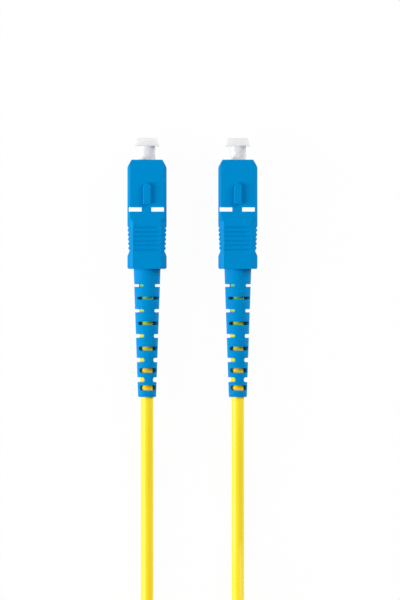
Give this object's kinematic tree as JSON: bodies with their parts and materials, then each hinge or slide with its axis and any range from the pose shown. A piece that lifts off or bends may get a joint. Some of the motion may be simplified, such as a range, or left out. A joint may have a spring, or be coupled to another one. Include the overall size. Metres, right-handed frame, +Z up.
{
  "type": "fiber optic patch cord",
  "caption": "Fiber optic patch cord with push-pull plugs, slotted bend-relief boots and dust caps on a round yellow cable, its spare length coiled and strapped.",
  "frame": {"origin": "middle of the footprint of the two plugs with their boots and caps, on the surface they lie on", "axes": "+Y along both plugs towards the ferrules, +Z up on the key side, +X from plug A to plug B"},
  "size_m": [0.0472, 0.1564, 0.0082],
  "materials": {
    "housing_blue": "moulded, satin gloss, two white printed bars",
    "boot_blue": "moulded elastomer, matte",
    "frame_natural": "moulded, natural white",
    "cap_milky": "moulded polyethylene, translucent",
    "zirconia": "ground and polished zirconia",
    "nickel_plate": "turned brass, nickel plated",
    "spring_steel": "drawn stainless wire",
    "jacket_yellow": "extruded cable jacket, satin",
    "yarn_yellow": "aramid strength yarn",
    "buffer_yellow": "tight buffer, 0.9 mm",
    "fiber_glass": "drawn glass fiber",
    "strap_black": "woven hook-and-loop strap"
  },
  "bodies": {
    "root": {"plug_frame_a": "frame_natural", "spring_a": "spring_steel", "stop_ring_a": "nickel_plate", "crimp_ring_a": "nickel_plate", "aramid_yarn_a": "yarn_yellow", "cable_jacket_a": "jacket_yellow", "boot_a": "boot_blue", "plug_frame_b": "frame_natural", "spring_b": "spring_steel", "stop_ring_b": "nickel_plate", "crimp_ring_b": "nickel_plate", "aramid_yarn_b": "yarn_yellow", "cable_jacket_b": "jacket_yellow", "boot_b": "boot_blue", "cord_run_a": "jacket_yellow", "cord_coil": "jacket_yellow", "cord_run_b": "jacket_yellow", "coil_tie_near": "strap_black", "coil_tie_far": "strap_black"},
    "housing_a": {"outer_housing_a": "housing_blue"},
    "ferrule_a": {"ferrule_a": "zirconia", "ferrule_flange_a": "nickel_plate", "fiber_buffer_a": "buffer_yellow", "glass_fiber_a": "fiber_glass"},
    "cap_a": {"dust_cap_a": "cap_milky"},
    "housing_b": {"outer_housing_b": "housing_blue"},
    "ferrule_b": {"ferrule_b": "zirconia", "ferrule_flange_b": "nickel_plate", "fiber_buffer_b": "buffer_yellow", "glass_fiber_b": "fiber_glass"},
    "cap_b": {"dust_cap_b": "cap_milky"}
  },
  "joints": [
    {"name": "housing_slide_a", "type": "slide", "parent": "root", "child": "housing_a", "axis": [0, -1, 0], "range_m": [0, 0.002]},
    {"name": "ferrule_float_a", "type": "slide", "parent": "root", "child": "ferrule_a", "axis": [0, -1, 0], "range_m": [0, 0.0008], "stiffness_N_per_m": 2500, "deforming": ["spring_a"]},
    {"name": "cap_pull_a", "type": "slide", "parent": "ferrule_a", "child": "cap_a", "axis": [0, 1, 0], "range_m": [0, 0.012]},
    {"name": "housing_slide_b", "type": "slide", "parent": "root", "child": "housing_b", "axis": [0, -1, 0], "range_m": [0, 0.002]},
    {"name": "ferrule_float_b", "type": "slide", "parent": "root", "child": "ferrule_b", "axis": [0, -1, 0], "range_m": [0, 0.0008], "stiffness_N_per_m": 2500, "deforming": ["spring_b"]},
    {"name": "cap_pull_b", "type": "slide", "parent": "ferrule_b", "child": "cap_b", "axis": [0, 1, 0], "range_m": [0, 0.012]}
  ]
}
